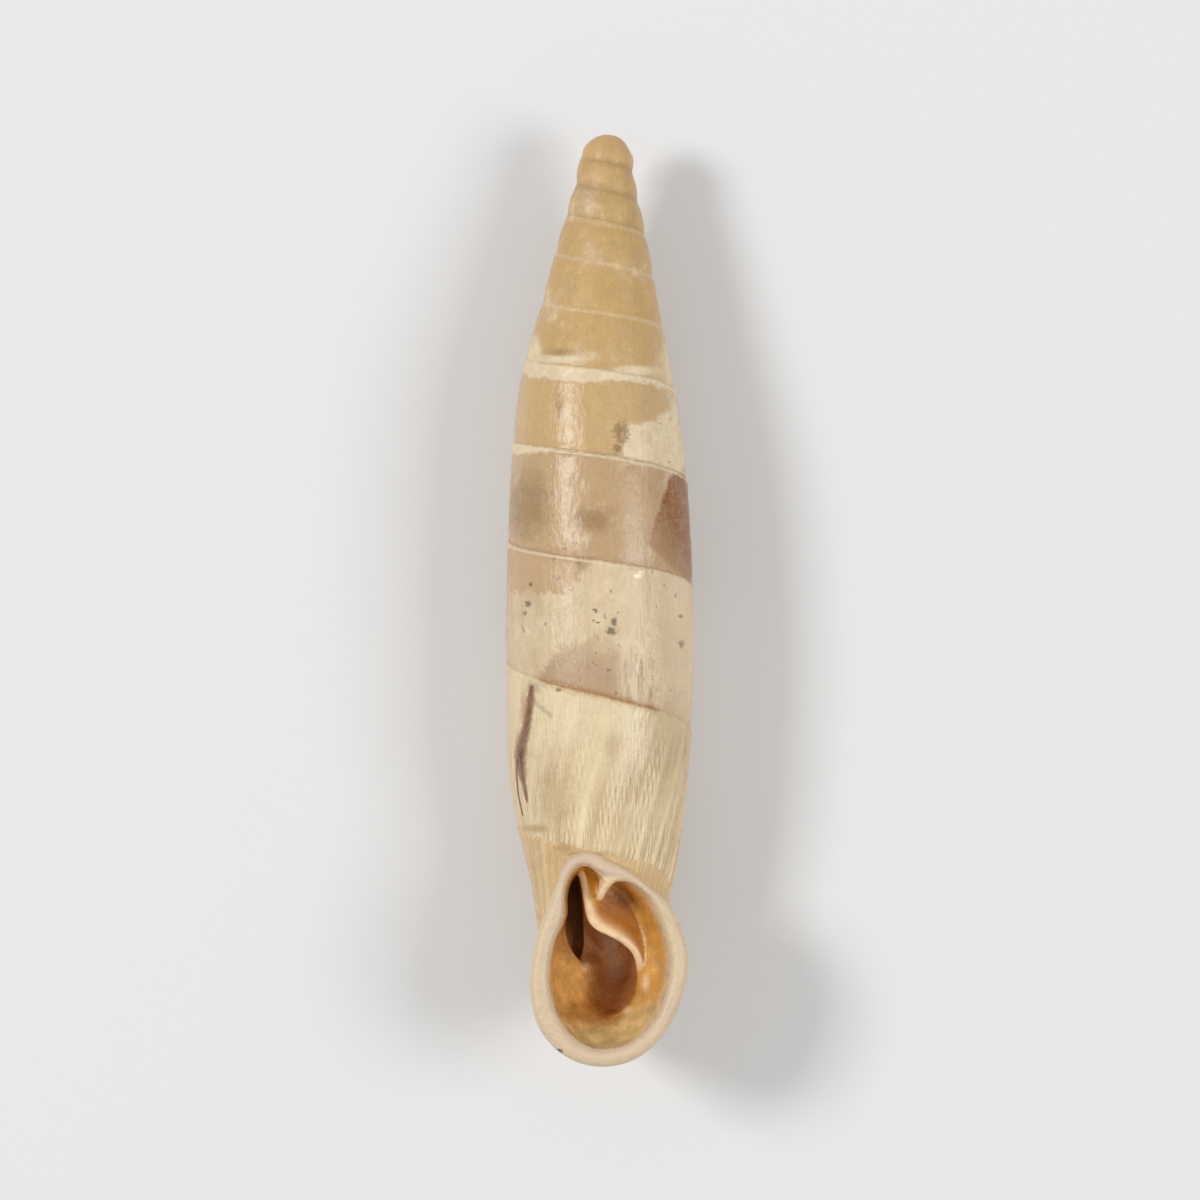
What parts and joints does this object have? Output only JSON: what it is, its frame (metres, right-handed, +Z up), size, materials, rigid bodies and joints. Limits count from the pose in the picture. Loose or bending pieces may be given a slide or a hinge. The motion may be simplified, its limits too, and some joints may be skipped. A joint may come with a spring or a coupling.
{
  "type": "door snail shell",
  "caption": "Slender left-handed spindle shell of a door snail, lying on its back, with a short neck, a thick pale lip and two folds in an open mouth.",
  "frame": {"origin": "middle of the shell's bounding box, on the surface that it lies on", "axes": "+Y towards the tip along the coil's axis, +Z up out of the mouth, +X across the shell"},
  "size_m": [0.005, 0.025, 0.005],
  "materials": {
    "shell": "satin"
  },
  "bodies": {
    "root": {"shell": "shell"}
  },
  "joints": []
}
